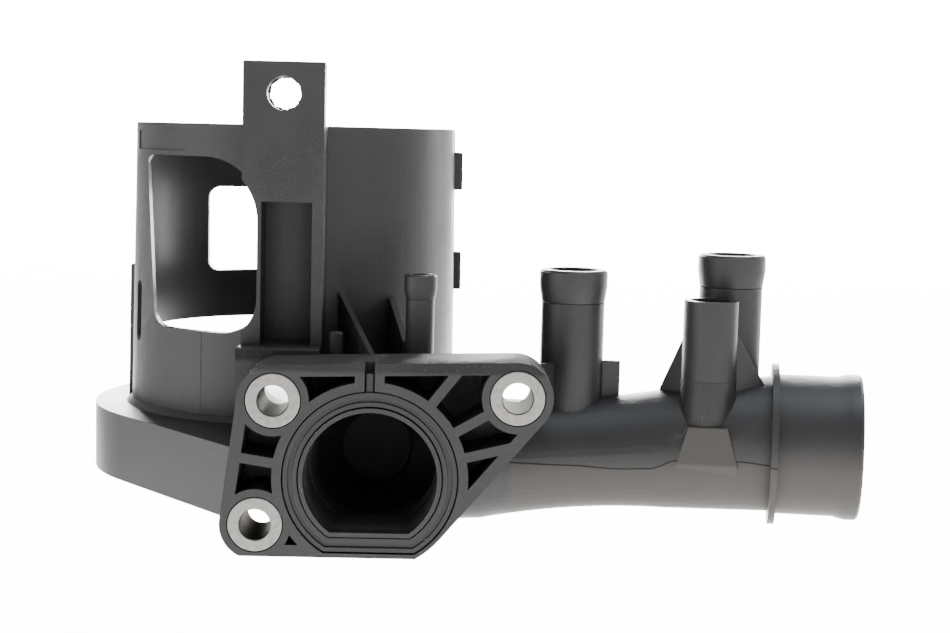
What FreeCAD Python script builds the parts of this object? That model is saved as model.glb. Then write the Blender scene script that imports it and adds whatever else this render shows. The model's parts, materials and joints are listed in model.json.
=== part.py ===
import FreeCAD, Part
import math
import os
import Sketcher

# Coolant distributor of a car engine: one moulding in black glass-filled nylon that carries a port
# flange, a main hose pipe, four small outlets and the round holder of a filter, with three metal
# sleeves in its bolt holes and one rubber gasket in its port.
# Millimetres. The origin is the centre of the port on the flange's sealing face.
# +X runs along the main pipe, +Y goes back from the sealing face, +Z is up.

doc = FreeCAD.newDocument("coolant_distributor")
sheet = doc.addObject("Spreadsheet::Sheet", "dims")


class Size:
    """A length or an angle that keeps the formula by which it follows the sheet."""

    def __init__(self, value, formula):
        self.value = value
        self.formula = formula

    def __add__(self, other):
        return Size(self.value + value_of(other), f"({self.formula} + {formula_of(other)})")

    def __radd__(self, other):
        return Size(value_of(other) + self.value, f"({formula_of(other)} + {self.formula})")

    def __sub__(self, other):
        return Size(self.value - value_of(other), f"({self.formula} - {formula_of(other)})")

    def __rsub__(self, other):
        return Size(value_of(other) - self.value, f"({formula_of(other)} - {self.formula})")

    def __mul__(self, other):
        return Size(self.value * value_of(other), f"({self.formula} * {formula_of(other)})")

    def __rmul__(self, other):
        return Size(value_of(other) * self.value, f"({formula_of(other)} * {self.formula})")

    def __truediv__(self, other):
        return Size(self.value / value_of(other), f"({self.formula} / {formula_of(other)})")

    def __neg__(self):
        return Size(-self.value, f"(-1 * {self.formula})")


def value_of(size):
    return size.value if isinstance(size, Size) else float(size)


def formula_of(size):
    return size.formula if isinstance(size, Size) else f"({size})"


def cosine(angle):
    return Size(math.cos(math.radians(value_of(angle))), f"cos({formula_of(angle)} * 1 deg)")


def sine(angle):
    return Size(math.sin(math.radians(value_of(angle))), f"sin({formula_of(angle)} * 1 deg)")


def driving(name, value):
    """One driving dimension: a row of the sheet whose alias is its name."""
    row = driving.rows = driving.rows + 1
    sheet.set(f"A{row}", name)
    sheet.set(f"B{row}", str(value))
    sheet.setAlias(f"B{row}", name)
    return Size(value, f"dims.{name}")


driving.rows = 0

# Port flange: its outline wraps the three bolt bosses and the port
flange_depth = driving("flange_depth", 22.0)
flange_wall = driving("flange_wall", 3.3)
flange_floor = driving("flange_floor", 4.0)
flange_rib = driving("flange_rib", 2.7)
flange_bottom = driving("flange_bottom", 21.8)
boss_radius = driving("boss_radius", 9.75)
boss_top_left_x = driving("boss_top_left_x", -26.55)
boss_top_left_z = driving("boss_top_left_z", 21.05)
boss_right_x = driving("boss_right_x", 39.6)
boss_right_z = driving("boss_right_z", 23.0)
boss_low_left_x = driving("boss_low_left_x", -31.0)
boss_low_left_z = driving("boss_low_left_z", -13.05)

# Metal sleeves that take the load of the bolts
sleeve_radius = driving("sleeve_radius", 7.5)
bolt_radius = driving("bolt_radius", 4.2)
sleeve_gap = driving("sleeve_gap", 0.2)

# D-shaped port and the groove of its gasket
port_radius = driving("port_radius", 18.3)
port_flat = driving("port_flat", 14.8)
port_depth = driving("port_depth", 25.0)
rim_wall = driving("rim_wall", 1.2)
groove_width = driving("groove_width", 4.6)
groove_depth = driving("groove_depth", 6.0)
groove_wall = driving("groove_wall", 1.1)
ring_wall = driving("ring_wall", 2.6)
notch_x = driving("notch_x", -0.5)
notch_width = driving("notch_width", 2.75)
notch_block = driving("notch_block", 8.0)
notch_depth = driving("notch_depth", 5.0)

# Rubber gasket
gasket_gap = driving("gasket_gap", 0.35)
gasket_ridge = driving("gasket_ridge", 0.9)
gasket_recess = driving("gasket_recess", 0.5)
gasket_tab = driving("gasket_tab", 2.0)
gasket_nub = driving("gasket_nub", 1.3)

# Main pipe: turned about a line that rises from the elbow and comes forward to the collar
pipe_wall = driving("pipe_wall", 3.0)
pipe_rise = driving("pipe_rise", 4.4)
pipe_turn = driving("pipe_turn", 2.8)
pipe_length = driving("pipe_length", 115.9)
pipe_start_radius = driving("pipe_start_radius", 17.4)
pipe_shoulder = driving("pipe_shoulder", 30.0)
pipe_shoulder_radius = driving("pipe_shoulder_radius", 17.7)
pipe_swell = driving("pipe_swell", 84.0)
pipe_swell_radius = driving("pipe_swell_radius", 17.2)
pipe_waist_round = driving("pipe_waist_round", 222.0)
pipe_end_radius = driving("pipe_end_radius", 19.9)
bore_radius = driving("bore_radius", 12.6)
bore_waist = driving("bore_waist", 60.0)
bore_waist_radius = driving("bore_waist_radius", 12.9)
pipe_step = driving("pipe_step", 0.3)
elbow_y = driving("elbow_y", 38.0)
elbow_radius = driving("elbow_radius", 20.0)
collar_x = driving("collar_x", 114.6)
collar_y = driving("collar_y", 33.6)
collar_z = driving("collar_z", 6.5)
collar_radius = driving("collar_radius", 23.3)
collar_width = driving("collar_width", 1.9)
stub_yaw = driving("stub_yaw", 9.0)
stub_radius = driving("stub_radius", 20.2)
stub_length = driving("stub_length", 25.5)
stub_bead = driving("stub_bead", 0.8)
stub_bead_length = driving("stub_bead_length", 5.0)

# Small outlets on the main pipe
hose_radius = driving("hose_radius", 9.1)
hose_bead = driving("hose_bead", 0.7)
hose_bead_length = driving("hose_bead_length", 7.5)
hose_bore = driving("hose_bore", 7.0)
inner_outlet_x = driving("inner_outlet_x", 56.5)
inner_outlet_y = driving("inner_outlet_y", 37.0)
inner_outlet_top = driving("inner_outlet_top", 55.6)
outer_outlet_x = driving("outer_outlet_x", 103.1)
outer_outlet_y = driving("outer_outlet_y", 42.5)
outer_outlet_top = driving("outer_outlet_top", 60.6)
front_outlet_x = driving("front_outlet_x", 95.0)
front_outlet_y = driving("front_outlet_y", 26.0)
front_outlet_top = driving("front_outlet_top", 48.5)
front_outlet_radius = driving("front_outlet_radius", 7.7)
front_outlet_straight = driving("front_outlet_straight", 14.0)
front_outlet_foot = driving("front_outlet_foot", 8.4)
front_outlet_bore = driving("front_outlet_bore", 5.8)
pad_top = driving("pad_top", 13.4)
pad_bottom = driving("pad_bottom", 2.6)
pad_top_width = driving("pad_top_width", 11.2)
pad_foot_width = driving("pad_foot_width", 17.5)
pad_reach = driving("pad_reach", 8.8)
pad_yaw = driving("pad_yaw", 10.7)

# Vent on the port chamber
vent_x = driving("vent_x", 12.3)
vent_y = driving("vent_y", 33.0)
vent_top = driving("vent_top", 53.5)
vent_radius = driving("vent_radius", 4.1)
vent_bead = driving("vent_bead", 0.6)
vent_bead_length = driving("vent_bead_length", 8.0)
vent_bore = driving("vent_bore", 2.6)

# Round holder and its windows
holder_x = driving("holder_x", -29.0)
holder_y = driving("holder_y", 98.0)
holder_radius = driving("holder_radius", 51.0)
holder_draft = driving("holder_draft", 0.55)
holder_wall = driving("holder_wall", 3.0)
holder_top = driving("holder_top", 95.0)
window_left = driving("window_left", -72.4)
window_low_left = driving("window_low_left", -69.0)
window_right = driving("window_right", -34.7)
window_top = driving("window_top", 85.3)
window_bottom = driving("window_bottom", 33.2)
window_big_round = driving("window_big_round", 18.0)
window_low_round = driving("window_low_round", 12.0)
window_corner = driving("window_corner", 5.5)
back_window_left = driving("back_window_left", -61.7)
back_window_right = driving("back_window_right", -20.0)
back_window_top = driving("back_window_top", 73.7)
back_window_bottom = driving("back_window_bottom", 44.9)
back_window_corner = driving("back_window_corner", 3.5)
back_gap_top = driving("back_gap_top", 29.0)
back_gap_turn = driving("back_gap_turn", 125.0)
band_bottom = driving("band_bottom", 86.8)
band_top = driving("band_top", 92.6)
band_depth = driving("band_depth", 0.9)
band_turn = driving("band_turn", 34.0)

# Foot tray under the holder
base_top = driving("base_top", 6.7)
base_bottom = driving("base_bottom", -13.4)
base_radius = driving("base_radius", 63.0)
base_wall = driving("base_wall", 3.0)
base_left_x = driving("base_left_x", -37.6)
base_left_y = driving("base_left_y", 6.5)
base_right_x = driving("base_right_x", 22.0)
base_right_y = driving("base_right_y", 30.0)
tray_left_x = driving("tray_left_x", -44.0)
tray_front_y = driving("tray_front_y", 26.0)
tray_right_x = driving("tray_right_x", 16.0)
foot_round = driving("foot_round", 1.8)

# Mounting bar
bar_left = driving("bar_left", -39.2)
bar_right = driving("bar_right", -15.9)
bar_front = driving("bar_front", 33.0)
bar_top = driving("bar_top", 113.0)
bar_thickness = driving("bar_thickness", 7.0)
bar_channel_left = driving("bar_channel_left", -33.6)
bar_channel_right = driving("bar_channel_right", -19.1)
bar_channel_top = driving("bar_channel_top", 73.2)
bar_channel_bottom = driving("bar_channel_bottom", 32.0)
bar_hole_x = driving("bar_hole_x", -27.5)
bar_hole_z = driving("bar_hole_z", 104.0)
bar_hole_radius = driving("bar_hole_radius", 4.85)
bar_foot_top = driving("bar_foot_top", 30.6)
access_radius = driving("access_radius", 7.9)
screw_way = driving("screw_way", 38.0)

# Thin stiffening ribs
rib_thickness = driving("rib_thickness", 1.6)


def bind(item, **sizes):
    """Sets each named size and ties it to the sheet."""
    for name, size in sizes.items():
        setattr(item, name, value_of(size))
        if isinstance(size, Size):
            item.setExpression(name, size.formula)
    return item


def place(item, at, yaw=0, pitch=0, roll=0):
    """Moves an item to a point and turns it, both tied to the sheet."""
    point = "; ".join(formula_of(size) for size in at)
    turn = "; ".join(formula_of(angle) for angle in (yaw, pitch, roll))
    item.setExpression("Placement", f"placement(vector({point}); rotation({turn}))")
    return item


def rod(name, radius, length, at, top_radius=None, **turn):
    """A round bar that stands on its lower face, or a cone where it has a top radius."""
    if top_radius is None:
        item = bind(doc.addObject("Part::Cylinder", name), Radius=radius, Height=length)
    else:
        item = doc.addObject("Part::Cone", name)
        bind(item, Radius1=radius, Radius2=top_radius, Height=length)
    return place(item, at, **turn)


def along_y(name, radius, start, end, x, z, top_radius=None):
    """A round bar that runs straight back from one depth to another."""
    return rod(name, radius, end - start, (x, start, z), top_radius, roll=-90)


def block(name, low, high):
    """A box between two corners."""
    item = doc.addObject("Part::Box", name)
    bind(item, Length=high[0] - low[0], Width=high[1] - low[1], Height=high[2] - low[2])
    return place(item, low)


def web(name, foot, length, root_height, tip_height, thickness, yaw):
    """A thin upright rib that runs out level from its foot and falls from one height to another."""
    item = doc.addObject("Part::Wedge", name)
    bind(item, Xmin=-thickness / 2, Xmax=thickness / 2, X2min=-thickness / 2, X2max=thickness / 2)
    bind(item, Ymin=0, Ymax=length, Zmin=0, Zmax=root_height, Z2min=0, Z2max=tip_height)
    return place(item, foot, yaw=yaw - 90)


def fuse(name, items):
    item = doc.addObject("Part::MultiFuse", name)
    item.Shapes = items
    item.Refine = False
    return item


def cut(name, base, tools):
    tool = tools[0] if len(tools) == 1 else fuse(name + "_tools", tools)
    item = doc.addObject("Part::Cut", name)
    item.Base = base
    item.Tool = tool
    item.Refine = False
    return item


def extrude(name, sketch, length):
    item = doc.addObject("Part::Extrusion", name)
    item.Base = sketch
    item.DirMode = "Normal"
    item.Solid = True
    return bind(item, LengthFwd=length)


def new_sketch(name, at, yaw, roll):
    return place(doc.addObject("Sketcher::SketchObject", name), at, yaw=yaw, roll=roll)


def pin(sketch, geometry, spot, x, y):
    """Ties one point of a sketch to the sheet."""
    for kind, size in (("DistanceX", x), ("DistanceY", y)):
        number = sketch.addConstraint(Sketcher.Constraint(kind, -1, 1, geometry, spot, value_of(size)))
        sketch.setExpression(f"Constraints[{number}]", formula_of(size))


def radius_of(sketch, geometry, size):
    number = sketch.addConstraint(Sketcher.Constraint("Radius", geometry, value_of(size)))
    sketch.setExpression(f"Constraints[{number}]", formula_of(size))


def belt(name, discs, at=(0, 0, 0), yaw=0, roll=0):
    """A closed outline round discs (x, y, radius), counterclockwise; a disc of no radius is a corner."""
    sketch = new_sketch(name, at, yaw, roll)
    count = len(discs)
    ends = []
    for index in range(count):
        x1, y1, r1 = (value_of(size) for size in discs[index])
        x2, y2, r2 = (value_of(size) for size in discs[(index + 1) % count])
        length = math.hypot(x2 - x1, y2 - y1)
        ahead = FreeCAD.Vector((x2 - x1) / length, (y2 - y1) / length, 0)
        side = FreeCAD.Vector(ahead.y, -ahead.x, 0)
        lean = (r1 - r2) / length
        normal = side * math.sqrt(1 - lean * lean) + ahead * lean
        start = FreeCAD.Vector(x1, y1, 0) + normal * r1
        end = FreeCAD.Vector(x2, y2, 0) + normal * r2
        ends.append((start, end, math.atan2(normal.y, normal.x)))
    lines = [sketch.addGeometry(Part.LineSegment(start, end)) for start, end, angle in ends]
    for index, (x, y, radius) in enumerate(discs):
        before = lines[index - 1]
        after = lines[index]
        if value_of(radius) == 0:
            sketch.addConstraint(Sketcher.Constraint("Coincident", before, 2, after, 1))
            pin(sketch, after, 1, x, y)
            continue
        centre = FreeCAD.Vector(value_of(x), value_of(y), 0)
        circle = Part.Circle(centre, FreeCAD.Vector(0, 0, 1), value_of(radius))
        first = ends[index - 1][2]
        last = ends[index][2]
        while last < first:
            last += 2 * math.pi
        arc = sketch.addGeometry(Part.ArcOfCircle(circle, first, last))
        sketch.addConstraint(Sketcher.Constraint("Tangent", before, 2, arc, 1))
        sketch.addConstraint(Sketcher.Constraint("Tangent", arc, 2, after, 1))
        pin(sketch, arc, 3, x, y)
        radius_of(sketch, arc, radius)
    return sketch


def rounded(name, corners, at=(0, 0, 0), yaw=0, roll=0):
    """A closed outline through corners (x, y, rounding), each rounding tangent to both its lines."""
    sketch = new_sketch(name, at, yaw, roll)
    count = len(corners)
    points = [FreeCAD.Vector(value_of(x), value_of(y), 0) for x, y, rounding in corners]
    cuts = []
    for index in range(count):
        here = points[index]
        back = (points[index - 1] - here).normalize()
        ahead = (points[(index + 1) % count] - here).normalize()
        half = back.getAngle(ahead) / 2
        reach = value_of(corners[index][2]) / math.tan(half)
        centre = here + (back + ahead).normalize() * (value_of(corners[index][2]) / math.sin(half))
        cuts.append((here + back * reach, here + ahead * reach, centre))
    lines = []
    for index in range(count):
        segment = Part.LineSegment(cuts[index][1], cuts[(index + 1) % count][0])
        lines.append(sketch.addGeometry(segment))
    for index, (x, y, rounding) in enumerate(corners):
        before = lines[index - 1]
        after = lines[index]
        if value_of(rounding) == 0:
            sketch.addConstraint(Sketcher.Constraint("Coincident", before, 2, after, 1))
            pin(sketch, after, 1, x, y)
            continue
        first, last, centre = cuts[index]
        turn = (points[index] - points[index - 1]).cross(points[(index + 1) % count] - points[index])
        starts, finishes = (1, 2) if turn.z > 0 else (2, 1)
        if turn.z < 0:
            first, last = last, first
        circle = Part.Circle(centre, FreeCAD.Vector(0, 0, 1), value_of(rounding))
        low = math.atan2(first.y - centre.y, first.x - centre.x)
        high = math.atan2(last.y - centre.y, last.x - centre.x)
        if high < low:
            high += 2 * math.pi
        arc = sketch.addGeometry(Part.ArcOfCircle(circle, low, high))
        corner = sketch.addGeometry(Part.Point(points[index]), True)
        sketch.addConstraint(Sketcher.Constraint("Tangent", before, 2, arc, starts))
        sketch.addConstraint(Sketcher.Constraint("Tangent", arc, finishes, after, 1))
        sketch.addConstraint(Sketcher.Constraint("PointOnObject", corner, 1, before))
        sketch.addConstraint(Sketcher.Constraint("PointOnObject", corner, 1, after))
        pin(sketch, corner, 1, x, y)
        radius_of(sketch, arc, rounding)
    return sketch


def soften(name, base, size, choose):
    """Chamfers the edges of a finished solid that the choice picks."""
    doc.recompute()
    item = doc.addObject("Part::Chamfer", name)
    item.Base = base
    edges = base.Shape.Edges
    item.Edges = [(number + 1, size.value, size.value) for number, edge in enumerate(edges) if choose(edge)]
    return item


# Port flange

def d_rod(name, radius, flat, start, end):
    """A round bar along Y with one flat below, as the port and its gasket have."""
    bar = along_y(name + "_bar", radius, start, end, 0, 0)
    below = block(name + "_below", (-2 * radius, start - 1, -2 * radius), (2 * radius, end + 1, -flat))
    return cut(name, bar, [below])


bosses = [
    (boss_low_left_x, boss_low_left_z),
    (boss_right_x, boss_right_z),
    (boss_top_left_x, boss_top_left_z),
]
groove_radius = port_radius + rim_wall + groove_width
groove_flat = port_flat + rim_wall + groove_width
ring_radius = groove_radius + ring_wall
flange_round = groove_radius + groove_wall


def flange_outline(name, inset, at_y):
    low_left, right, top_left = [(x, z, boss_radius - inset) for x, z in bosses]
    port = (0, 0, flange_round - inset)
    return belt(name, [low_left, port, right, top_left], at=(0, at_y, 0), roll=90)


flange_slab = extrude("flange_slab", flange_outline("flange_outline", 0, flange_depth), flange_depth)
flange_under = block("flange_under", (-2 * holder_radius, -flange_depth, -3 * flange_bottom),
                     (2 * holder_radius, 2 * flange_depth, -flange_bottom))
flange_plate = cut("flange_plate", flange_slab, [flange_under])

# The cavities between the flange's ribs, open to the front
cavity_depth = flange_depth - flange_floor
cavity_outline = flange_outline("cavity_outline", flange_wall, cavity_depth)
cavity_slab = extrude("cavity_slab", cavity_outline, cavity_depth + 1)
kept = [along_y("port_ring", ring_radius, -2 - flange_wall, flange_depth, 0, 0)]
for number, (x, z) in enumerate(bosses):
    kept.append(along_y(f"boss_{number + 1}", boss_radius, -2 - flange_wall, flange_depth, x, z))
for number, angle in enumerate((14, 30.2, 52, 171.5)):
    rib = doc.addObject("Part::Box", f"flange_rib_{number + 1}")
    bind(rib, Length=boss_right_x * 1.5, Width=flange_rib, Height=flange_depth + 4)
    place(rib, (flange_rib / 2 * sine(angle), flange_depth + 1, -flange_rib / 2 * cosine(angle)),
          yaw=0, pitch=-angle, roll=90)
    kept.append(rib)
kept.append(block("notch_wall", (notch_x - notch_block / 2, -3, 0),
                  (notch_x + notch_block / 2, flange_depth, 2 * ring_radius)))
kept.append(block("cavity_under", (-2 * holder_radius, -3, -3 * flange_bottom),
                  (2 * holder_radius, flange_depth, -flange_bottom + flange_wall)))
flange_cavity = cut("flange_cavity", cavity_slab, kept)
flange = cut("flange", flange_plate, [flange_cavity])

# Port chamber, elbow and main pipe: outer forms and the cores that hollow them

def beyond_collar(distance):
    """A point on the stub's axis, at a distance past the collar's inner face."""
    return (collar_x + distance * cosine(stub_yaw), collar_y - distance * sine(stub_yaw), collar_z)


def hollow_arc(sketch, start, end, rounding):
    """An arc from one point (x, y) to the next that sags between them."""
    x1, y1 = (value_of(size) for size in start)
    x2, y2 = (value_of(size) for size in end)
    half = math.hypot(x2 - x1, y2 - y1) / 2
    rise = math.sqrt(rounding.value ** 2 - half ** 2) / (2 * half)
    centre = FreeCAD.Vector((x1 + x2) / 2 - rise * (y2 - y1), (y1 + y2) / 2 + rise * (x2 - x1), 0)
    low, high = [math.atan2(y - centre.y, x - centre.x) for x, y in ((x1, y1), (x2, y2))]
    circle = Part.Circle(centre, FreeCAD.Vector(0, 0, 1), rounding.value)
    arc = sketch.addGeometry(Part.ArcOfCircle(circle, low, high))
    radius_of(sketch, arc, rounding)
    return arc


def pipe_turning(name, stations, waist=None):
    """A round form turned about the pipe's sloping line, through stations (distance, radius)."""
    ahead = (cosine(pipe_rise) * cosine(pipe_turn), -cosine(pipe_rise) * sine(pipe_turn), sine(pipe_rise))
    start = [here - pipe_length * along for here, along in zip(beyond_collar(collar_width / 2), ahead)]
    sketch = place(doc.addObject("Sketcher::SketchObject", name + "_profile"), start,
                   yaw=-pipe_turn, pitch=-pipe_rise)
    corners = [(0, 0)] + stations + [(stations[-1][0], 0), (0, 0)]
    for number, (first, last) in enumerate(zip(corners, corners[1:])):
        if number == waist:
            edge = hollow_arc(sketch, first, last, pipe_waist_round)
        else:
            points = [FreeCAD.Vector(value_of(x), value_of(y), 0) for x, y in (first, last)]
            edge = sketch.addGeometry(Part.LineSegment(*points))
        pin(sketch, edge, 1, *first)
        pin(sketch, edge, 2, *last)
    item = doc.addObject("Part::Revolution", name)
    item.Source = sketch
    item.Solid = True
    item.Angle = 360
    item.setExpression("Base", "vector({}; {}; {})".format(*(formula_of(size) for size in start)))
    item.setExpression("Axis", "vector({}; {}; {})".format(*(formula_of(size) for size in ahead)))
    return item


def ball(name, radius):
    """The elbow's round corner, its poles along the corner's middle line."""
    return place(bind(doc.addObject("Part::Sphere", name), Radius=radius), (0, elbow_y, 0), yaw=45, roll=-90)


def stub_rod(name, radius, start, length):
    return rod(name, radius, length, beyond_collar(start), yaw=-stub_yaw, pitch=90)


port_tube = along_y("port_tube", elbow_radius + rim_wall, cavity_depth, elbow_y, 0, 0,
                    elbow_radius - pipe_step)
past_collar = place(bind(doc.addObject("Part::Box", "past_collar"), Length=stub_length,
                         Width=4 * stub_radius, Height=4 * stub_radius),
                    (beyond_collar(collar_width / 2)[0] - 2 * stub_radius * sine(stub_yaw),
                     beyond_collar(collar_width / 2)[1] - 2 * stub_radius * cosine(stub_yaw),
                     collar_z - 2 * stub_radius), yaw=-stub_yaw)
pipe_end = pipe_length + collar_width * 2
pipe = cut("pipe", pipe_turning("pipe_turned", [
    (0, pipe_start_radius),
    (pipe_shoulder, pipe_shoulder_radius),
    (pipe_swell, pipe_swell_radius),
    (pipe_end, pipe_end_radius),
], waist=2), [past_collar])
pipe_outer = [port_tube, ball("elbow", elbow_radius), pipe]
collar = stub_rod("collar", collar_radius, 0, collar_width)
stub = stub_rod("stub", stub_radius, collar_width / 4, stub_length - collar_width / 4)
bead_start = stub_length - stub_bead_length
bead = stub_rod("stub_bead", stub_radius + stub_bead, bead_start, stub_bead_length)
stub_end = soften("stub_end", bead, stub_bead, lambda edge: isinstance(edge.Curve, Part.Circle))

elbow_core = elbow_radius - pipe_wall
pipe_core = fuse("pipe_core", [
    d_rod("port_core", port_radius, port_flat, -flange_depth, port_depth),
    along_y("chamber_core", port_radius - pipe_step, port_depth - 1, elbow_y, 0, 0, elbow_core - pipe_step),
    along_y("chamber_end", elbow_core - pipe_step, elbow_y, elbow_y + elbow_core - 2, 0, 0, elbow_core * 0.6),
    cut("bore", pipe_turning("bore_turned", [
        (0, bore_radius),
        (bore_waist, bore_waist_radius),
        (pipe_end, stub_radius - pipe_wall - pipe_step),
    ]), [past_collar]),
    stub_rod("stub_core", stub_radius - pipe_wall, collar_width / 4, stub_length + 1),
])

# Outlets


def outlet(name, x, y, top, radius, bead_proud, bead_length):
    """A hose outlet: a tube from the pipe's middle with a rounded bead about its mouth."""
    tube = rod(name + "_tube", radius, top, (x, y, 0))
    mouth = rod(name + "_mouth", radius + bead_proud, bead_length, (x, y, top - bead_length))
    sleeve = soften(name + "_bead", mouth, bead_proud * 0.95, lambda edge: edge.BoundBox.ZLength < 0.01)
    return [tube, sleeve]


outlets = []
outlets += outlet("inner_outlet", inner_outlet_x, inner_outlet_y, inner_outlet_top,
                  hose_radius, hose_bead, hose_bead_length)
outlets += outlet("outer_outlet", outer_outlet_x, outer_outlet_y, outer_outlet_top,
                  hose_radius, hose_bead, hose_bead_length)
outlets += outlet("vent", vent_x, vent_y, vent_top, vent_radius, vent_bead, vent_bead_length)
outlets.append(rod("front_outlet", front_outlet_radius, front_outlet_top - collar_z,
                   (front_outlet_x, front_outlet_y, collar_z)))
outlets.append(rod("front_outlet_cone", front_outlet_foot, front_outlet_top - front_outlet_straight - pad_bottom,
                   (front_outlet_x, front_outlet_y, pad_bottom), front_outlet_radius))
pad_sketch = rounded("pad_outline", [
    (-pad_foot_width / 2, pad_bottom, 0),
    (pad_foot_width / 2, pad_bottom, 0),
    (pad_top_width / 2, pad_top, 1),
    (-pad_top_width / 2, pad_top, 1),
], at=(front_outlet_x, front_outlet_y, 0), yaw=-pad_yaw, roll=90)
outlets.append(extrude("pad", pad_sketch, pad_reach))

outlet_cores = [
    rod("inner_outlet_core", hose_bore, inner_outlet_top + 1, (inner_outlet_x, inner_outlet_y, 0)),
    rod("outer_outlet_core", hose_bore, outer_outlet_top + 1 - collar_z,
        (outer_outlet_x, outer_outlet_y, collar_z)),
    rod("vent_core", vent_bore, vent_top + 1, (vent_x, vent_y, 0)),
    rod("front_outlet_core", front_outlet_bore, front_outlet_top + 1 - collar_z,
        (front_outlet_x, front_outlet_y, collar_z)),
]

# Holder

holder_axis = (holder_x, holder_y)
holder_outer = rod("holder_outer", holder_radius + holder_draft, holder_top - base_top + 1,
                   (holder_x, holder_y, base_top - 1), holder_radius - holder_draft)
holder_foot = rod("holder_foot", holder_radius + holder_draft + foot_round, foot_round * 1.2,
                  (holder_x, holder_y, base_top), holder_radius + holder_draft - foot_round / 4)
holder_core = rod("holder_core", holder_radius - holder_wall, holder_top, (holder_x, holder_y, base_top))
window = extrude("window", rounded("window_outline", [
    (window_low_left, window_bottom, window_corner),
    (window_right, window_bottom, window_low_round),
    (window_right, window_top, window_big_round),
    (window_left, window_top, 2.5),
], at=(0, holder_y - 6, 0), roll=90), holder_y)
back_window = extrude("back_window", rounded("back_window_outline", [
    (back_window_left, back_window_bottom, back_window_corner),
    (back_window_right, back_window_bottom, back_window_corner),
    (back_window_right, back_window_top, back_window_corner),
    (back_window_left, back_window_top, back_window_corner),
], at=(0, holder_y + 2 * holder_radius, 0), roll=90), 2 * holder_radius - 10)
band_sector = bind(doc.addObject("Part::Cylinder", "band_sector"), Radius=holder_radius + 4,
                   Height=band_top - band_bottom, Angle=band_turn)
place(band_sector, (holder_x, holder_y, band_bottom), yaw=200)
band_keep = rod("band_keep", holder_radius - band_depth, holder_radius * 2, (holder_x, holder_y, 0))
band = cut("band", band_sector, [band_keep])
gap_sector = bind(doc.addObject("Part::Cylinder", "gap_sector"), Radius=holder_radius + 8,
                  Height=back_gap_top - base_top, Angle=back_gap_turn)
place(gap_sector, (holder_x, holder_y, base_top), yaw=38)

# Foot tray

base_slab = extrude("base_slab", belt("base_outline", [
    (base_left_x, base_left_y, 0),
    (base_left_x + 1, flange_depth - 2, 0),
    (base_right_x, base_right_y, 0),
    (holder_x, holder_y, base_radius),
], at=(0, 0, base_bottom)), base_top - base_bottom)
tray_slab = extrude("tray_slab", belt("tray_outline", [
    (tray_left_x, tray_front_y, 0),
    (tray_right_x, tray_front_y, 0),
    (holder_x, holder_y, base_radius - base_wall),
], at=(0, 0, base_bottom - 1)), base_top - base_bottom + 1 - base_wall)
tray_ribs = []
for number in range(2):
    angle = 90 * number
    tray_ribs.append(place(bind(doc.addObject("Part::Box", f"tray_rib_{number + 1}"),
                                Length=2 * base_radius, Width=rib_thickness, Height=base_top - base_bottom),
                           (holder_x - base_radius * cosine(angle), holder_y - base_radius * sine(angle),
                            base_bottom + 2), yaw=angle))
tray_core = tray_slab
for item in pipe_outer + tray_ribs:
    tray_core = cut("tray_less_" + item.Name, tray_core, [item])

# Mounting bar and its foot

bar_back = holder_y - holder_radius + holder_wall * 0.6
bar_slab = block("bar_slab", (bar_left, bar_front, bar_channel_bottom),
                 (bar_right, bar_back, holder_top))
bar_channel = block("bar_channel", (bar_channel_left, bar_front - 1, bar_channel_bottom),
                    (bar_channel_right, bar_back + 5, bar_channel_top))
channel_back = rod("channel_back", holder_radius + 0.6, holder_top, (holder_x, holder_y, 0))
bar_lower = cut("bar_lower", bar_slab, [cut("bar_hollow", bar_channel, [channel_back])])
bar_tab = block("bar_tab", (bar_left, bar_front, holder_top - 10),
                (bar_right, bar_front + bar_thickness, bar_top))
bar_foot = block("bar_foot", (bar_left, flange_depth - 1, base_top - 1),
                 (bar_right, bar_back + 0.8, bar_foot_top + 1.5))

# Ribs about the outlets and the holder

ribs = [
    web("fin_wide", (holder_x + (holder_radius - 1) * sine(20), holder_y - (holder_radius - 1) * cosine(20),
                     base_top), holder_radius * 0.68, 47 - base_top, 24, rib_thickness, -70),
    web("fin_vent", (3.0, 59.5, base_top), 26, 45 - base_top, 27, rib_thickness, -78),
]

outer = fuse("outer", pipe_outer + [flange, collar, stub, stub_end, holder_outer, holder_foot, base_slab,
                                    bar_lower, bar_tab, bar_foot] + outlets + ribs)

# What the mould's cores leave open

sleeve_cores = [along_y(f"sleeve_core_{number + 1}", sleeve_radius + sleeve_gap, -1, flange_depth + 1, x, z)
                for number, (x, z) in enumerate(bosses)]
groove = cut("groove", d_rod("groove_outer", groove_radius, groove_flat, -1, groove_depth),
             [d_rod("groove_inner", port_radius + rim_wall, port_flat + rim_wall, -2, groove_depth + 1)])
notch = block("notch", (notch_x - notch_width / 2, -1, port_radius + rim_wall + 2),
              (notch_x + notch_width / 2, notch_depth, 2 * ring_radius))
access = along_y("access", access_radius, flange_depth - 0.5, flange_depth + screw_way,
                 boss_top_left_x, boss_top_left_z)
low_access = along_y("low_access", access_radius, flange_depth, flange_depth + screw_way,
                     boss_low_left_x, boss_low_left_z)
tab_hole = along_y("tab_hole", bar_hole_radius, bar_front - 1, bar_front + bar_thickness + 1,
                   bar_hole_x, bar_hole_z)
hollow = cut("hollow", cut("piped", outer, [pipe_core]), [tray_core])
distributor = cut("distributor_body", hollow, [holder_core, window, back_window, band, gap_sector, groove, notch,
                                               access, low_access, tab_hole] + outlet_cores + sleeve_cores)
distributor.Refine = True

# Metal sleeves, one in each boss

sleeves = []
for name, (x, z) in zip(("sleeve_low_left", "sleeve_right", "sleeve_top_left"), bosses):
    sleeves.append(cut(name, along_y(name + "_outer", sleeve_radius, 0, flange_depth, x, z),
                       [along_y(name + "_bore", bolt_radius, -1, flange_depth + 1, x, z)]))

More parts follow.
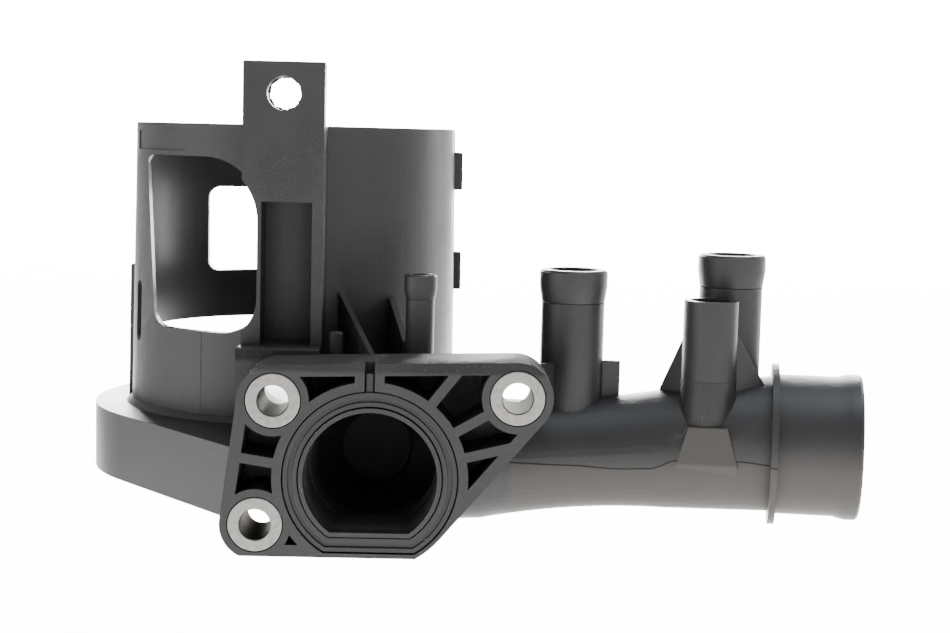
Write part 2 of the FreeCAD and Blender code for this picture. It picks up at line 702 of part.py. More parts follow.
# Rubber gasket: two lips on a D-shaped ring, with a tab that shows it is fitted

gasket_front = gasket_recess
gasket_outer = groove_radius - gasket_gap
gasket_outer_flat = groove_flat - gasket_gap
gasket_inner = port_radius + rim_wall + gasket_gap
gasket_inner_flat = port_flat + rim_wall + gasket_gap
gasket_ring = cut("gasket_ring", d_rod("gasket_outer", gasket_outer, gasket_outer_flat,
                                       gasket_front, groove_depth - 0.1),
                  [d_rod("gasket_inner", gasket_inner, gasket_inner_flat, -1, groove_depth + 1)])
valley_width = (groove_width - 2 * gasket_gap) / 3
valley = cut("gasket_valley",
             d_rod("valley_outer", gasket_outer - valley_width, gasket_outer_flat - valley_width,
                   -2, gasket_front + gasket_ridge),
             [d_rod("valley_inner", gasket_inner + valley_width, gasket_inner_flat + valley_width,
                    -3, groove_depth)])
gasket_tab_piece = block("gasket_tab_piece",
                         (notch_x - notch_width / 2 + gasket_gap, gasket_front + gasket_ridge,
                          gasket_outer - valley_width),
                         (notch_x + notch_width / 2 - gasket_gap, notch_depth - 0.2,
                          boss_top_left_z + boss_radius - gasket_tab))
gasket = doc.addObject("Part::Fuse", "port_gasket")
gasket.Base = cut("gasket_grooved", gasket_ring, [valley])
gasket.Tool = gasket_tab_piece
gasket.Refine = True
gasket.Label = "port_gasket"

doc.recompute()

nodes = [distributor, gasket] + sleeves
for item in doc.Objects:
    if "Invalid" in item.State or "Error" in item.State:
        raise RuntimeError(f"{item.Name} did not build: {item.State}")
os.makedirs("parts", exist_ok=True)
for node in nodes:
    shape = node.Shape
    if shape.isNull() or not shape.isValid() or len(shape.Solids) != 1:
        raise RuntimeError(f"{node.Label} is not one valid solid: {len(shape.Solids)}")
    shape.exportStep(f"parts/{node.Label}.step")
    print(node.Label, round(shape.Volume), len(shape.Faces), shape.BoundBox)
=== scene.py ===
import bpy
import json
import math
from mathutils import Matrix, Vector


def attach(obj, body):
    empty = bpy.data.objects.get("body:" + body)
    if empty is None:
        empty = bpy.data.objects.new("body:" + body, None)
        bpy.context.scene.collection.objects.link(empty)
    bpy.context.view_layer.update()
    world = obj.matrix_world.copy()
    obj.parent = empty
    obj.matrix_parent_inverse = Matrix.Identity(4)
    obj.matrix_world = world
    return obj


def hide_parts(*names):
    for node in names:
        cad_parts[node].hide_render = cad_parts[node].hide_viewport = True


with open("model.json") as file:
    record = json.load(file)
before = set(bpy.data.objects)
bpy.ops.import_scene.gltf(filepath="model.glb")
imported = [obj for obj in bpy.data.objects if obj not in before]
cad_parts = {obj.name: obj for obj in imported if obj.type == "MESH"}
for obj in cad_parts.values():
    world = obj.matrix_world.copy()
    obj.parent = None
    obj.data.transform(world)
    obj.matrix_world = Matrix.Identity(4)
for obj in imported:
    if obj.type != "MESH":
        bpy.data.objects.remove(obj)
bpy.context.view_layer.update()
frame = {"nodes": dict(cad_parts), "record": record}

# Camera: it looks a little down on the flange from the front, as the photograph does,
# with its slight turn to the right and its slight lean.
camera_place = Vector((0.0181, -0.4694, 0.0942))
camera_turn = math.radians(1.14)
camera_tilt = math.radians(5.97)
camera_lean = math.radians(1.41)
camera_lens, camera_sensor = 66.6, 36
bpy.ops.object.camera_add()
camera = bpy.context.object
camera.data.sensor_width = camera_sensor
camera.data.lens = camera_lens
camera.data.clip_start = 0.01
camera.matrix_world = (
    Matrix.Translation(camera_place)
    @ Matrix.Rotation(-camera_turn, 4, "Z")
    @ Matrix.Rotation(math.pi / 2 - camera_tilt, 4, "X")
    @ Matrix.Rotation(camera_lean, 4, "Z")
)
bpy.context.scene.camera = camera

# Studio: a pale floor well below the part, which gets brighter behind it, as a lit sweep does,
# a bright card far behind, five soft lamps, and a soft white tent all round.
studio_white = (0.9, 0.9, 0.9, 1)
floor_warmth = (1, 0.97, 0.93, 1)
floor_size, floor_drop = 24, 0.16
near_glow, far_glow, side_glow = 1.7, 14.0, 0.35
glow_start, glow_end = 0.16, 0.42
wedge_bright, wedge_dull, wedge_widening = 0.22, 0.34, 0.3


def new_paint(name):
    """A new material and its shader."""
    paint = bpy.data.materials.new(name)
    paint.use_nodes = True
    return paint, paint.node_tree.nodes["Principled BSDF"]


def node_of(tree, kind, inputs, **settings):
    """A new node with its settings, and with each input linked to a socket or set to a value."""
    node = tree.nodes.new("ShaderNode" + kind)
    for setting, value in settings.items():
        setattr(node, setting, value)
    for socket, value in inputs.items():
        if isinstance(value, bpy.types.NodeSocket):
            tree.links.new(value, node.inputs[socket])
        else:
            node.inputs[socket].default_value = value
    return node


def worked(operation, first, *others):
    """What Math nodes make of one value alone, or of two or more values in turn."""
    result = first
    for other in others or (0,):
        result = node_of(first.id_data, "Math", {0: result, 1: other}, operation=operation).outputs[0]
    return result


floor_paint, shader = new_paint("studio_white")
shader.inputs["Base Color"].default_value = studio_white
shader.inputs["Roughness"].default_value = 0.9
shader.inputs["Emission Color"].default_value = floor_warmth
tree = floor_paint.node_tree
place = node_of(tree, "TexCoord", {}).outputs["Object"]
axes = node_of(tree, "SeparateXYZ", {"Vector": place}).outputs
# Only the wedge that the camera sees is bright far back. Beside it the floor is dull there,
# so that the part's edges stay dark.
sideways = worked("ABSOLUTE", axes["X"])
beside = node_of(tree, "Math", {0: axes["Y"], 1: -wedge_widening, 2: sideways}, operation="MULTIPLY_ADD")
wedge_ends = {
    "Value": beside.outputs[0], "From Min": wedge_dull, "From Max": wedge_bright,
    "To Min": side_glow, "To Max": far_glow}
wedge = node_of(tree, "MapRange", wedge_ends, interpolation_type="SMOOTHSTEP").outputs["Result"]
glow = node_of(tree, "MapRange", {
    "Value": axes["Y"], "From Min": glow_start, "From Max": glow_end,
    "To Min": near_glow, "To Max": wedge}).outputs["Result"]
tree.links.new(glow, shader.inputs["Emission Strength"])
bpy.ops.mesh.primitive_plane_add(size=floor_size, location=(0, 0, -floor_drop))
floor = bpy.context.object
floor.name = "studio_floor"
floor.data.materials.append(floor_paint)


def glowing_card(name, size, place, strength):
    bpy.ops.mesh.primitive_plane_add(size=size, location=place, rotation=(math.pi / 2, 0, 0))
    card = bpy.context.object
    card.name = name
    paint, card_shader = new_paint(name)
    card_shader.inputs["Base Color"].default_value = studio_white
    card_shader.inputs["Emission Color"].default_value = (1, 1, 1, 1)
    card_shader.inputs["Emission Strength"].default_value = strength
    card.data.materials.append(paint)
    return card


# The bright card stays out of the reflections, and a dimmer one behind it takes its place there.
backdrop = glowing_card("studio_backdrop", size=4.6, place=(0, 6, 1.8), strength=far_glow)
backdrop.visible_glossy = False
glowing_card("studio_reflector", size=4.4, place=(0, 6.1, 1.8), strength=1.6)

world = bpy.data.worlds.new("studio_tent")
bpy.context.scene.world = world
world.use_nodes = True
world.node_tree.nodes["Background"].inputs["Color"].default_value = (1.0, 1.0, 1.0, 1)
world.node_tree.nodes["Background"].inputs["Strength"].default_value = 0.55


def soft_lamp(name, place, aim, size, watts, colour):
    bpy.ops.object.light_add(type="AREA", location=place)
    lamp = bpy.context.object
    lamp.name = name
    lamp.data.shape = "RECTANGLE"
    lamp.data.size, lamp.data.size_y = size
    lamp.data.energy = watts
    lamp.data.color = colour
    lamp.rotation_euler = (Vector(aim) - Vector(place)).to_track_quat("-Z", "Y").to_euler()


soft_lamp(
    "left_softbox", place=(-0.9, -0.35, 0.1), aim=(0, 0.05, 0.0),
    size=(0.6, 0.7), watts=1.5, colour=(1.0, 0.98, 0.95))
soft_lamp(
    "low_left_softbox", place=(-0.26, -0.1, -0.14), aim=(-0.08, 0.06, 0.0),
    size=(0.22, 0.22), watts=0.2, colour=(1.0, 0.93, 0.84))
soft_lamp(
    "low_right_softbox", place=(0.16, -0.12, -0.14), aim=(0.08, 0.03, 0.0),
    size=(0.22, 0.12), watts=0.14, colour=(1.0, 0.90, 0.78))
soft_lamp(
    "top_softbox", place=(0.3, -0.05, 1.1), aim=(0.02, 0.05, 0.03),
    size=(0.8, 0.6), watts=6, colour=(0.82, 0.91, 1.0))
soft_lamp(
    "right_rear_softbox", place=(0.8, 0.75, 0.2), aim=(0.0, 0.1, 0.05),
    size=(0.5, 0.8), watts=5, colour=(0.94, 0.97, 1.0))

# Moulding: flange, pipe, outlets, holder, foot and bar in one shot of black glass-filled nylon.
# Its corners come out of the mould with a small rounding, and its skin is satin with a fine grain.
# The outlets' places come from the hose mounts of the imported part.
mount_places = {mount["name"]: Vector(mount["pos_m"]) for mount in frame["record"]["mounts"]}
inner_foot, outer_foot, front_foot, vent_foot = (
    Vector((*mount_places[name].xy, 0)) for name in ("inner_hose", "outer_hose", "front_hose", "vent_hose"))
collar_centre = Vector((0.1146, 0.0336, 0.0065))
stub_yaw = math.radians(9)
corner_rounding = 0.00035
same_point = 0.000002
flat_corner, smooth_corner = math.radians(0.6), math.radians(32)


def merged_copy(node_name, piece_name):
    """A copy of a CAD node whose loose triangles are joined into whole faces."""
    bpy.ops.object.select_all(action="DESELECT")
    node = frame["nodes"][node_name]
    piece = bpy.data.objects.new(piece_name, node.data.copy())
    bpy.context.scene.collection.objects.link(piece)
    piece.data.name = piece_name
    piece.data.materials.clear()
    bpy.context.view_layer.objects.active = piece
    piece.select_set(True)
    bpy.ops.object.mode_set(mode="EDIT")
    bpy.ops.mesh.select_all(action="SELECT")
    bpy.ops.mesh.remove_doubles(threshold=same_point)
    bpy.ops.mesh.dissolve_limited(angle_limit=flat_corner)
    bpy.ops.object.mode_set(mode="OBJECT")
    return piece


def round_corners(piece, width, segments, sharper_than):
    """Rounds the corners that turn by more than an angle in degrees, and evens the shading out."""
    bevel = piece.modifiers.new("corner_rounding", "BEVEL")
    bevel.width = width
    bevel.segments = segments
    bevel.limit_method = "ANGLE"
    bevel.angle_limit = math.radians(sharper_than)
    bpy.ops.object.select_all(action="DESELECT")
    bpy.context.view_layer.objects.active = piece
    piece.select_set(True)
    bpy.ops.object.modifier_apply(modifier=bevel.name)
    bpy.ops.object.shade_smooth_by_angle(angle=smooth_corner)
    evening = piece.modifiers.new("even_shading", "WEIGHTED_NORMAL")
    evening.keep_sharp = True
    bpy.ops.object.modifier_apply(modifier=evening.name)


def ease_bead(piece, foot, direction, neck, proud, step, lower_by, raise_by):
    """Turns the short step under a hose bead into the long soft flare that the mould gives it."""
    length_slack, radius_slack = 0.0001, 0.008
    for point in piece.data.vertices:
        along = (point.co - foot).dot(direction)
        away = (point.co - foot - direction * along).length
        in_step = step - length_slack < along < step + proud + length_slack
        if in_step and neck * (1 - radius_slack) < away < (neck + proud) * (1 + radius_slack):
            share = min(1, max(0, (away - neck) / proud))
            point.co += direction * ((raise_by + lower_by) * share - lower_by)


moulding = merged_copy("distributor_body", "moulding")
upwards = Vector((0, 0, 1))
stub_line = Vector((math.cos(stub_yaw), -math.sin(stub_yaw), 0))
for foot, direction, neck, proud, step, lower_by, raise_by in (
    (inner_foot, upwards, 0.0091, 0.0007, 0.0481, 0.0020, 0.0020),
    (outer_foot, upwards, 0.0091, 0.0007, 0.0531, 0.0020, 0.0020),
    (vent_foot, upwards, 0.0041, 0.0006, 0.0455, -0.0008, 0.0030),
    (collar_centre, stub_line, 0.0202, 0.0008, 0.0205, 0.0022, 0.0004),
):
    ease_bead(moulding, foot, direction, neck, proud, step, lower_by, raise_by)

# The long slot low on the holder's left is cut through the wall here, with round ends.
holder_axis = Vector((-0.029, 0.098, 0))
holder_foot_radius, holder_wall = 0.051, 0.003
slot_turn = math.radians(204.1)
slot_low, slot_high, slot_width, slot_depth = 0.0273, 0.0461, 0.0050, 0.010
slot_rounding = slot_width * 0.46
slot_way = Vector((math.cos(slot_turn), math.sin(slot_turn), 0))
slot_middle = holder_axis + slot_way * (holder_foot_radius - holder_wall / 2)
slot_middle.z = (slot_low + slot_high) / 2


def upright_block(name, middle, turn, size):
    """A block of the given size that stands upright and is turned about the vertical."""
    bpy.ops.object.select_all(action="DESELECT")
    bpy.ops.mesh.primitive_cube_add(size=1, location=middle, rotation=(0, 0, turn))
    block = bpy.context.object
    block.name = name
    block.scale = size
    bpy.ops.object.transform_apply(location=True, rotation=True, scale=True)
    return block


def pick(piece, kind, wanted):
    """Opens a piece in edit mode with only those points, edges or faces picked that pass a test."""
    bpy.ops.object.mode_set(mode="EDIT")
    bpy.ops.mesh.select_mode(type=kind)
    bpy.ops.mesh.select_all(action="DESELECT")
    bpy.ops.object.mode_set(mode="OBJECT")
    parts = {"VERT": piece.data.vertices, "EDGE": piece.data.edges, "FACE": piece.data.polygons}
    for part in parts[kind]:
        part.select = wanted(part)
    bpy.ops.object.mode_set(mode="EDIT")


def runs_through_wall(edge):
    first, second = (slot_tool.data.vertices[i].co for i in edge.vertices)
    return abs((second - first).normalized().dot(slot_way)) > 0.9


slot_size = (slot_depth, slot_width, slot_high - slot_low)
slot_tool = upright_block("slot_tool", slot_middle, slot_turn, slot_size)
pick(slot_tool, "EDGE", runs_through_wall)
bpy.ops.mesh.bevel(offset=slot_rounding, segments=8)
bpy.ops.object.mode_set(mode="OBJECT")
slot_cut = moulding.modifiers.new("holder_slot", "BOOLEAN")
slot_cut.operation = "DIFFERENCE"
slot_cut.solver = "EXACT"
slot_cut.object = slot_tool
bpy.ops.object.select_all(action="DESELECT")
bpy.context.view_layer.objects.active = moulding
moulding.select_set(True)
bpy.ops.object.modifier_apply(modifier=slot_cut.name)
bpy.data.objects.remove(slot_tool)
round_corners(moulding, corner_rounding, segments=2, sharper_than=38)

# The nylon's skin: a fine grain all over, and clouds where the melt flowed.
nylon, shader = new_paint("glass_filled_nylon")
tree = nylon.node_tree
place = node_of(tree, "TexCoord", {}).outputs["Object"]
axes = node_of(tree, "SeparateXYZ", {"Vector": place}).outputs


def speckle(place, **sockets):
    """Noise on the given coordinates."""
    return node_of(place.id_data, "TexNoise", {"Vector": place, **sockets}).outputs["Fac"]


def toned(value, dark, light, start=0, end=1):
    """A colour that goes from dark to light as a value goes from start to end."""
    ramp = node_of(value.id_data, "ValToRGB", {"Fac": value})
    for stop, position, colour in zip(ramp.color_ramp.elements, (start, end), (dark, light)):
        stop.position = position
        stop.color = colour
    return ramp.outputs["Color"]


def spread(value, low, high):
    """A number that goes from low to high as a value goes from 0 to 1."""
    ends = {"Value": value, "To Min": low, "To Max": high}
    return node_of(value.id_data, "MapRange", ends).outputs["Result"]


def fading(value, full, none):
    """1 where a value has reached its full end, 0 at the other, and smooth between them."""
    ends = {"Value": value, "From Min": none, "From Max": full}
    return node_of(value.id_data, "MapRange", ends, interpolation_type="SMOOTHSTEP").outputs["Result"]


def blended(mask, low, high):
    """A colour or a number that goes from low to high with a mask. A Mix node has its sockets for
    every kind in one row, so they are taken by their places in it."""
    kind, first, result = ("RGBA", 6, 2) if isinstance(high, tuple) else ("FLOAT", 2, 0)
    sockets = {0: mask, first: low, first + 1: high}
    return node_of(mask.id_data, "Mix", sockets, data_type=kind).outputs[result]


def distance_to(place, point):
    return node_of(place.id_data, "VectorMath", {0: place, 1: point}, operation="DISTANCE").outputs["Value"]


def distance_across(axes, x, z):
    """How far a place lies from the line that runs from front to back through x and z."""
    flat = node_of(axes["X"].id_data, "CombineXYZ", {"X": axes["X"], "Z": axes["Z"]})
    return distance_to(flat.outputs["Vector"], (x, 0, z))


def cover(shader, colour, gloss, relief, strength, depth):
    """Gives a shader its colour, its gloss and its relief."""
    heights = {"Height": relief, "Strength": strength, "Distance": depth}
    bump = node_of(relief.id_data, "Bump", heights)
    links = relief.id_data.links
    links.new(colour, shader.inputs["Base Color"])
    links.new(gloss, shader.inputs["Roughness"])
    links.new(bump.outputs["Normal"], shader.inputs["Normal"])


grain = speckle(place, Scale=1400, Detail=4, Roughness=0.6)
flow = speckle(place, Scale=28, Detail=5, Distortion=0.6)
pits = speckle(place, Scale=1700, Detail=6, Roughness=0.75)

# Fine drag marks up the walls, as the core left them.
stretched = node_of(tree, "Mapping", {"Vector": place, "Scale": (900, 900, 22)})
drags = speckle(stretched.outputs["Vector"], Scale=1, Detail=3)

# The parting line of the mould runs along the pipe, dips, and rises to the front outlet's pad.
# Below it the skin is a little duller and stands a hair proud, and it is painted lighter and warmer there:
# a painted reflection of the warm floor below.
line_start, line_end, line_tallest = 0.030, 0.115, 0.02
line_stops = (
    (0.0, 0.0018), (0.30, 0.0012), (0.46, 0.0006), (0.56, 0.0010),
    (0.66, 0.0038), (0.86, 0.0041), (1.0, 0.0031))
line_run = node_of(tree, "MapRange", {"Value": axes["X"], "From Min": line_start, "From Max": line_end})
line_course = node_of(tree, "ValToRGB", {"Fac": line_run.outputs["Result"]}, name="parting_line_course")
line_course.color_ramp.interpolation = "EASE"
while len(line_course.color_ramp.elements) < len(line_stops):
    line_course.color_ramp.elements.new(0.5)
for stop, (run, height) in zip(line_course.color_ramp.elements, line_stops):
    stop.position = run
    stop.color = (height / line_tallest,) * 3 + (1,)
above_line = worked("SUBTRACT", axes["Z"], worked("MULTIPLY", line_course.outputs["Color"], line_tallest))
past_flange = worked(
    "MULTIPLY", fading(axes["X"], full=0.040, none=0.036), fading(axes["X"], full=0.1126, none=0.1134))
# Along the line itself the skin is painted near black: painted shade in the crease of the step.
seam_shade_line = worked("MULTIPLY", fading(worked("ABSOLUTE", above_line), full=0.00006, none=0.00038), past_flange)
lower_half_and_floor_glow = worked("MULTIPLY", fading(above_line, full=-0.0002, none=0.0002), past_flange)
# The stub's low side is painted lighter and warmer: a painted reflection of the warm floor below.
stub_floor_glow = worked(
    "MULTIPLY", fading(above_line, full=-0.016, none=0.012), fading(axes["X"], full=0.1136, none=0.1132))

# Rough skin: on the bar's middle, and on the flange's top, where flash was scraped off.
rough_skin = worked("MAXIMUM", *(
    fading(distance_to(place, middle), full, none)
    for middle, full, none in (
        ((-0.0270, 0.033, 0.0815), 0.006, 0.0135),
        ((-0.0205, 0.033, 0.0900), 0.003, 0.009),
        ((0.000, 0.018, 0.0325), 0.012, 0.022),
        ((0.026, 0.018, 0.0325), 0.010, 0.018),
    )))

# The flange's top face is scraped matt over its whole depth. Here and in the rough skin, the
# deepest pits show torn and pale.
flange_top = worked(
    "MULTIPLY",
    fading(axes["Z"], full=0.0300, none=0.0280), fading(axes["Z"], full=0.0345, none=0.0360),
    fading(axes["Y"], full=0.025, none=0.029), fading(axes["X"], full=0.046, none=0.050))
torn_skin = worked("MAXIMUM", rough_skin, flange_top)
torn_spots = worked("MULTIPLY", fading(pits, full=0.68, none=0.57), torn_skin)

# Inside the port the skin is dull and a little lighter, and towards the chamber's end it is painted dark:
# painted shade deep in the port.
port = mount_places["port"]
port_inside = worked(
    "MULTIPLY",
    fading(distance_across(axes, port.x, port.z), full=0.0186, none=0.0192),
    fading(axes["Y"], full=0.006, none=0.003), fading(axes["Y"], full=0.054, none=0.058))
chamber_shade = worked("MULTIPLY", port_inside, fading(axes["Y"], full=0.040, none=0.026))

colour = toned(flow, (0.015, 0.015, 0.0165, 1), (0.025, 0.025, 0.0265, 1), start=0.35, end=0.72)
# Painted light and shade among these tints: the lower half's and the stub's lighter, warmer tints are
# painted reflections of the floor, and the chamber's and the seam's dark tints are painted shade. The torn
# spots are real wear.
for mask, tint in (
    (lower_half_and_floor_glow, (0.036, 0.033, 0.030, 1)),
    (stub_floor_glow, (0.040, 0.036, 0.032, 1)),
    (port_inside, (0.035, 0.035, 0.037, 1)),
    (chamber_shade, (0.007, 0.007, 0.0075, 1)),
    (seam_shade_line, (0.002, 0.002, 0.002, 1)),
    (torn_spots, (0.085, 0.082, 0.078, 1)),
):
    colour = blended(mask, colour, tint)
gloss = spread(flow, 0.30, 0.60)
for mask, roughness in ((lower_half_and_floor_glow, 0.52), (port_inside, 0.75), (flange_top, 0.92), (rough_skin, 0.66)):
    gloss = blended(mask, gloss, roughness)
grain_height, drag_height, rough_height, lower_height, scraped_height = 0.7, 0.45, 3.6, 2.6, 3.0
relief = worked(
    "ADD",
    worked("MULTIPLY", grain, grain_height), worked("MULTIPLY", drags, drag_height),
    worked("MULTIPLY", rough_skin, pits, rough_height), worked("MULTIPLY", lower_half_and_floor_glow, lower_height),
    worked("MULTIPLY", flange_top, pits, scraped_height))
cover(shader, colour, gloss, relief, strength=0.5, depth=0.00012)
moulding.data.materials.append(nylon)
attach(moulding, "root")
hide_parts("distributor_body")

# Flash in the bar's hole: a thin torn web of the moulding's nylon, where the mould let a little
# melt out round the hole's rear edge. It was never trimmed.
bar_hole_radius, flash_overlap, flash_set_back = 0.00485, 0.00003, 0.002
flash_width, flash_thickness, flash_ragged = 0.00035, 0.0004, 0.00012
flash_tears = ((0.00016, 9, 0), (0.00012, 23, 1))
flash_tongue, tongue_turn = 0.0004, 0.75
flash_centre = mount_places["bar_hole"] + Vector((0, flash_set_back, 0))
flash_outer = bar_hole_radius + flash_overlap
bpy.ops.object.select_all(action="DESELECT")
bpy.ops.mesh.primitive_circle_add(
    vertices=72, radius=flash_outer, location=flash_centre, rotation=(math.pi / 2, 0, 0))
flash = bpy.context.object
flash.name = "bar_hole_flash"
bpy.ops.object.transform_apply(location=True, rotation=True, scale=True)
bpy.ops.object.mode_set(mode="EDIT")
bpy.ops.mesh.select_all(action="SELECT")
bpy.ops.mesh.extrude_region()
inner_scale = (flash_outer - flash_width) / flash_outer
bpy.ops.transform.resize(value=(inner_scale, 1, inner_scale), center_override=flash_centre)
bpy.ops.object.mode_set(mode="OBJECT")
for point in flash.data.vertices:
    spoke = point.co - flash_centre
    if spoke.length < flash_outer - flash_width / 2:
        turn = math.atan2(spoke.z, spoke.x)
        torn = sum(height * math.sin(count * turn + start) for height, count, start in flash_tears)
        torn += flash_tongue * max(0, math.sin(turn + tongue_turn)) * max(0, -math.cos(turn))
        point.co = flash_centre + spoke.normalized() * (spoke.length - flash_ragged - torn)
thickness = flash.modifiers.new("web_thickness", "SOLIDIFY")
thickness.thickness = flash_thickness
bpy.ops.object.modifier_apply(modifier=thickness.name)
bpy.ops.object.mode_set(mode="EDIT")
bpy.ops.mesh.select_all(action="SELECT")
bpy.ops.mesh.normals_make_consistent(inside=False)
bpy.ops.object.mode_set(mode="OBJECT")
flash.data.materials.append(nylon)
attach(flash, "root")

# Ribs and gussets at the outlets' feet: thin nylon webs of the same moulding, which stiffen
# the outlets on the pipe. They start inside the outlet's wall and end in the pipe's top.
web_thickness, web_start, web_bottom = 0.0016, 0.0075, 0.010


def web(name, foot, turn, reach, near_top, far_top):
    """An upright rib from inside an outlet's wall outwards. Its top falls from near_top to far_top."""
    along = Vector((math.cos(turn), math.sin(turn), 0))
    half_way, half_high = (web_start + reach) / 2, (web_bottom + near_top) / 2
    middle = foot + along * half_way
    middle.z = half_high
    piece = upright_block(name, middle, turn, (reach - web_start, web_thickness, near_top - web_bottom))
    pick(piece, "VERT", lambda point: (point.co - foot).dot(along) > half_way and point.co.z > half_high)
    bpy.ops.transform.translate(value=(0, 0, far_top - near_top))
    bpy.ops.object.mode_set(mode="OBJECT")
    return piece


def finish_nylon(piece, rounding, paint):
    round_corners(piece, rounding, segments=2, sharper_than=25)
    piece.data.materials.append(paint)
    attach(piece, "root")


for name, foot, degrees, reach, near_top, far_top in (
    ("inner_outlet_rib_right", inner_foot, 0, 0.0142, 0.0293, 0.0293),
    ("inner_outlet_rib_left", inner_foot, -131, 0.0152, 0.0293, 0.0293),
    ("front_outlet_gusset_left", front_foot, 144, 0.0154, 0.0390, 0.0220),
    ("front_outlet_gusset_right", front_foot, 6, 0.0171, 0.0392, 0.0231),
):
    rib = web(name, foot, math.radians(degrees), reach, near_top, far_top)
    finish_nylon(rib, rounding=0.0003, paint=nylon)

# Pad under the front outlet: a flat-faced swelling of the mould's lower half, narrower at its top
# and drawn back at its foot, that gives the outlet its root on the pipe.
pad_x, pad_front, pad_thickness = 0.0942, 0.0161, 0.006
pad_turn = math.radians(-8)
pad_low, pad_high = 0.0026, 0.0136
pad_low_half, pad_high_half = 0.0088, 0.0056
pad_foot_drop, pad_foot_back, pad_foot_share = 0.0062, 0.0030, 0.93
pad = upright_block("front_outlet_pad", (0, 0, 0), 0, (pad_low_half * 2, pad_thickness, pad_high - pad_low))
pick(pad, "VERT", lambda point: point.co.z > 0)
bpy.ops.transform.resize(value=(pad_high_half / pad_low_half, 1, 1), center_override=(0, 0, 0))
pick(pad, "FACE", lambda face: face.normal.z < -0.9)
bpy.ops.mesh.extrude_region_move(TRANSFORM_OT_translate={"value": (0, pad_foot_back, -pad_foot_drop)})
bpy.ops.transform.resize(value=(pad_foot_share, 1, 1), center_override=(0, 0, 0))
bpy.ops.object.mode_set(mode="OBJECT")
pad.location = (pad_x, pad_front + pad_thickness / 2, (pad_low + pad_high) / 2)
pad.rotation_euler = (0, 0, pad_turn)
bpy.ops.object.transform_apply(location=True, rotation=True, scale=True)
# Its nylon is the lower half's all over, duller and with the lower half's painted reflection of the warm
# floor, so its parting line is taken up above it.
lower_nylon = nylon.copy()
lower_nylon.name = "glass_filled_nylon_lower_half"
for stop in lower_nylon.node_tree.nodes["parting_line_course"].color_ramp.elements:
    stop.color = (1, 1, 1, 1)
finish_nylon(pad, rounding=0.0005, paint=lower_nylon)

# Root of the front outlet: the foot of its tube, of the same nylon, which leans forward to the pad
# and stands out of the pipe.
root_low, root_high = 0.0130, 0.0260
root_low_radius, root_high_radius = 0.0073, 0.00795
root_lean = (-0.0008, -0.0018, 0)
root_middle = front_foot + upwards * (root_low + root_high) / 2
bpy.ops.object.select_all(action="DESELECT")
bpy.ops.mesh.primitive_cone_add(
    vertices=72, radius1=root_low_radius, radius2=root_high_radius, depth=root_high - root_low,
    location=root_middle)
root = bpy.context.object
root.name = "front_outlet_root"
bpy.ops.object.transform_apply(location=True, rotation=True, scale=True)
pick(root, "VERT", lambda point: point.co.z < root_middle.z)
bpy.ops.transform.translate(value=root_lean)
bpy.ops.object.mode_set(mode="OBJECT")
finish_nylon(root, rounding=0.0003, paint=nylon)

# Small forms on the holder's wall, all moulded with it in the same nylon: two lugs and a thin strip
# on its right, a rib on its left, and a shallow band that runs down from the front window.
holder_top_level, base_top_level = 0.095, 0.0067
holder_slope = math.tan(math.radians(0.55))
strip_short_by, foot_sunk, form_sunk = 0.0006, 0.0005, 0.0012


def holder_radius(level):
    return holder_foot_radius - (level - base_top_level) * holder_slope


def wall_form(name, turn, proud, width, low, high):
    """An upright bar on the holder's leaning wall."""
    along = Vector((math.cos(turn), math.sin(turn), 0))
    middle = holder_axis + along * (holder_radius(low) + (proud - form_sunk) / 2)
    middle.z = (low + high) / 2
    piece = upright_block(name, middle, turn, (proud + form_sunk, width, high - low))
    pick(piece, "VERT", lambda point: point.co.z > (low + high) / 2)
    bpy.ops.transform.translate(value=along * (holder_radius(high) - holder_radius(low)))
    bpy.ops.object.mode_set(mode="OBJECT")
    return piece


for name, degrees, proud, width, low, high in (
    ("holder_lug_high", 2.2, 0.0030, 0.0024, 0.0757, 0.0877),
    ("holder_lug_low", 6.8, 0.0031, 0.0024, 0.0432, 0.0554),
    ("holder_strip_right", 0, 0.0005, 0.0026, 0.0271, holder_top_level - strip_short_by),
    ("holder_rib_left", 179, 0.0024, 0.0018, base_top_level - foot_sunk, 0.0495),
    ("window_line_rib", 239.8, 0.0006, 0.0042, base_top_level - foot_sunk, 0.0330),
):
    form = wall_form(name, math.radians(degrees), proud, width, low, high)
    finish_nylon(form, rounding=0.00025, paint=nylon)

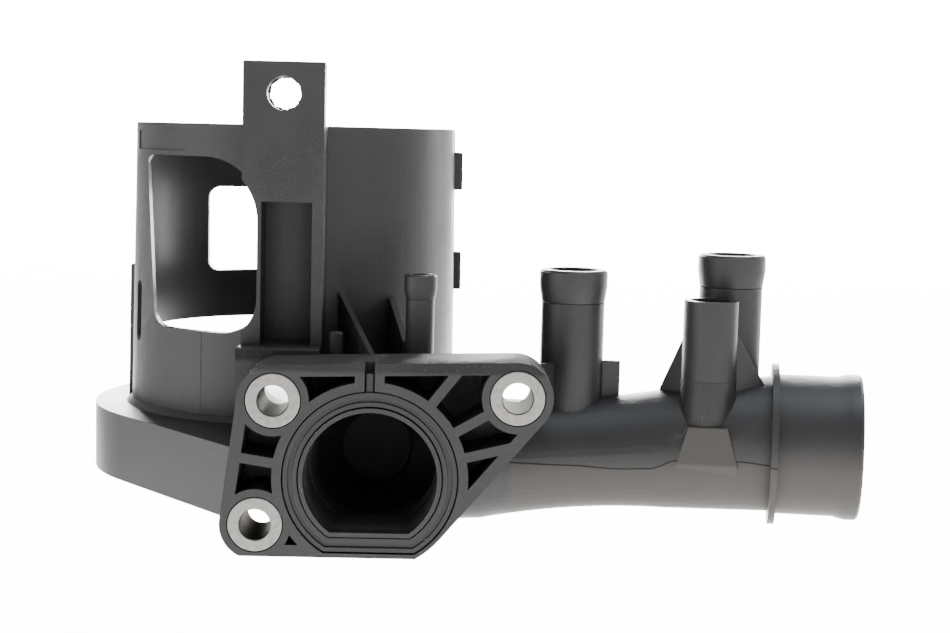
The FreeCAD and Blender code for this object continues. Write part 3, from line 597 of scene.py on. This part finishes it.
# Post behind the flange's top edge: a short round peg with a rounded end, moulded in one with
# the rest, of the same nylon.
post_x, post_y, post_radius = -0.0115, 0.0300, 0.002
post_low, post_high = 0.026, 0.0365
post_crown_inset, post_crown_rise = 0.0007, 0.0003
bpy.ops.object.select_all(action="DESELECT")
bpy.ops.mesh.primitive_cylinder_add(
    vertices=40, radius=post_radius, depth=post_high - post_low,
    location=(post_x, post_y, (post_low + post_high) / 2))
post = bpy.context.object
post.name = "flange_post"
bpy.ops.object.transform_apply(location=True, rotation=True, scale=True)
pick(post, "FACE", lambda face: face.normal.z > 0.9)
bpy.ops.mesh.inset(thickness=post_crown_inset, depth=post_crown_rise)
bpy.ops.object.mode_set(mode="OBJECT")
finish_nylon(post, rounding=0.0003, paint=nylon)

# Sleeves: three turned aluminium tubes that stand in the flange's bosses and take the bolts' load.
# Both their mouths are lightly chamfered. Their bores are duller than the faced ends and are painted dark:
# painted shade inside the holes.
sleeve_spots = ("low_left", "right", "top_left")
aluminium, shader = new_paint("turned_aluminium")
shader.inputs["Metallic"].default_value = 1.0
shader.inputs["Specular Tint"].default_value = (0.3, 0.3, 0.29, 1)
place = node_of(aluminium.node_tree, "TexCoord", {}).outputs["Object"]
axes = node_of(aluminium.node_tree, "SeparateXYZ", {"Vector": place}).outputs
bolt_places = [mount_places["bolt_" + spot] for spot in sleeve_spots]
shaded_dull_bore = fading(
    worked("MINIMUM", *(distance_across(axes, bolt.x, bolt.z) for bolt in bolt_places)),
    full=0.00425, none=0.0046)
turning = speckle(place, Scale=700, Detail=5)
colour = toned(turning, (0.27, 0.263, 0.25, 1), (0.39, 0.382, 0.365, 1), start=0.3, end=0.7)
# Painted shade in the bores.
colour = blended(shaded_dull_bore, colour, (0.07, 0.068, 0.064, 1))
gloss = blended(shaded_dull_bore, spread(turning, 0.38, 0.55), 0.5)
cover(shader, colour, gloss, turning, strength=0.3, depth=0.00008)
for spot in sleeve_spots:
    sleeve = merged_copy("sleeve_" + spot, "bolt_sleeve_" + spot)
    round_corners(sleeve, width=0.0004, segments=3, sharper_than=40)
    sleeve.data.materials.append(aluminium)
    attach(sleeve, "root")
    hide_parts("sleeve_" + spot)

# Gasket: one D-shaped ring of black rubber, moulded with two lips and a tab. It is pressed into
# its groove in the flange's face.
rubber, shader = new_paint("moulded_rubber")
place = node_of(rubber.node_tree, "TexCoord", {}).outputs["Object"]
bloom = speckle(place, Scale=500, Detail=4)
colour = toned(bloom, (0.009, 0.009, 0.010, 1), (0.017, 0.017, 0.018, 1))
cover(shader, colour, spread(bloom, 0.28, 0.45), bloom, strength=0.2, depth=0.0001)
gasket = merged_copy("port_gasket", "rubber_gasket")
round_corners(gasket, width=0.00035, segments=2, sharper_than=40)
gasket.data.materials.append(rubber)
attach(gasket, "root")
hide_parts("port_gasket")
